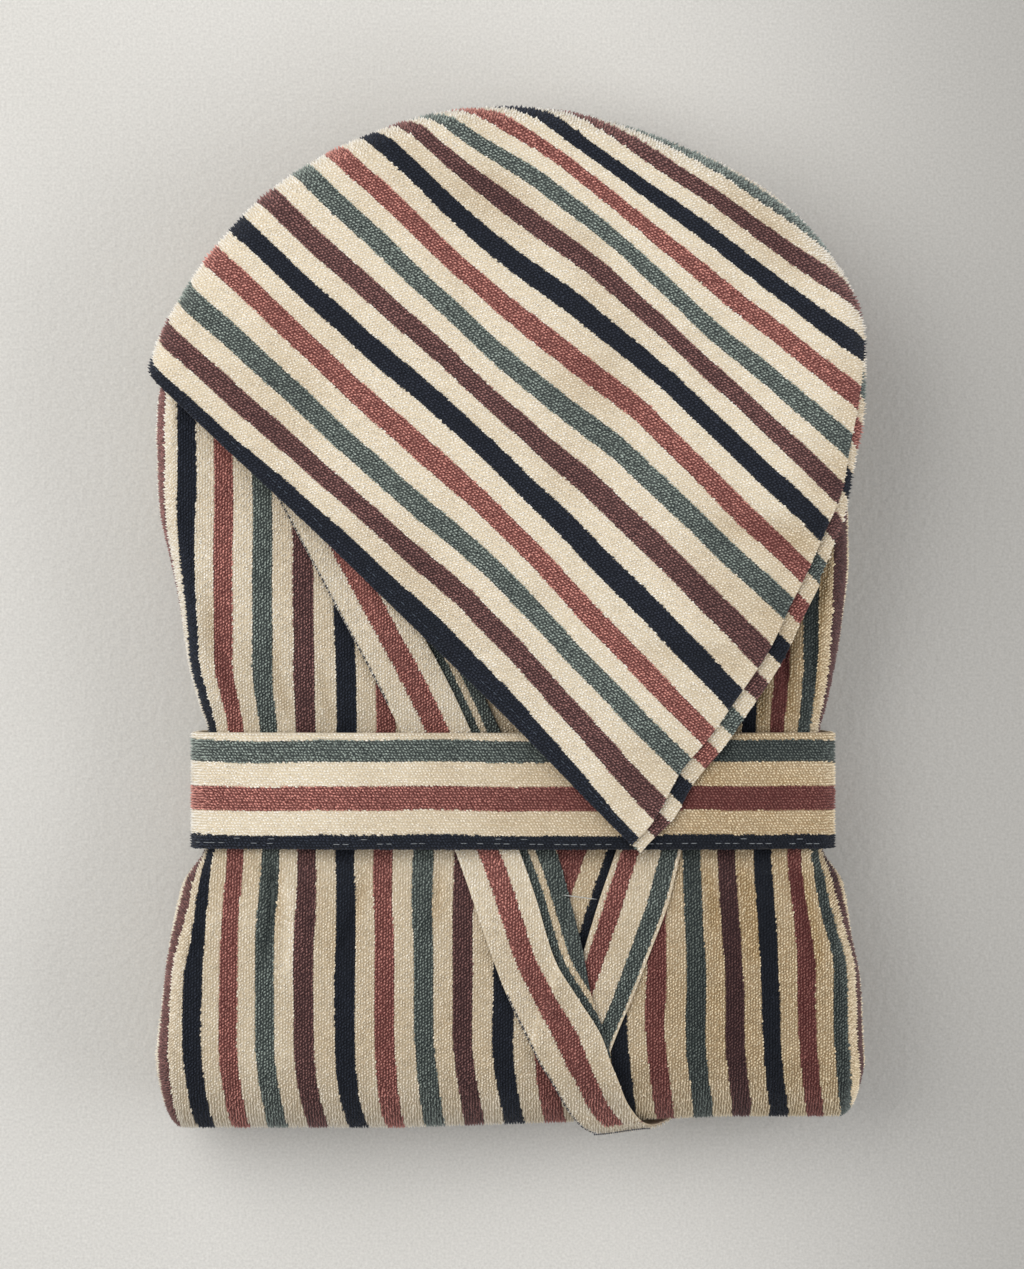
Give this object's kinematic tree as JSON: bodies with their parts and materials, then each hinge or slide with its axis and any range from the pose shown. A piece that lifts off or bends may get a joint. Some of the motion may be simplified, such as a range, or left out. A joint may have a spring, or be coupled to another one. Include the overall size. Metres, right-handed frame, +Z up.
{
  "type": "folded dressing gown",
  "caption": "Hooded terry dressing gown with stripes, folded into a flat packet with its tie belt wrapped round the waist and the hood laid over the top.",
  "frame": {"origin": "under the middle of the folded packet, on the surface it lies on", "axes": "+X towards the wearer's left, +Y from the bottom fold towards the hood, +Z up"},
  "size_m": [0.3062, 0.4402, 0.0741],
  "materials": {
    "terry_body": "cotton terry, lengthwise stripes of maroon, navy, rose and green on cream",
    "terry_band": "cotton terry, stripes along the band in rose, green and navy on cream",
    "terry_belt": "cotton terry, green, rose and navy stripes along the belt on cream",
    "terry_hood": "cotton terry, stripes parallel to the hood's edge in navy, maroon, green and rose on cream",
    "terry_hidden": "cotton terry, cream with stripes, inside the folds"
  },
  "bodies": {
    "root": {"folded_layers": "terry_hidden", "right_front": "terry_body", "left_front": "terry_body", "left_facing": "terry_band", "left_band": "terry_band", "right_facing": "terry_band", "right_band": "terry_band", "belt": "terry_belt", "hood_left_half": "terry_hood", "hood_right_half": "terry_hood"}
  },
  "joints": []
}
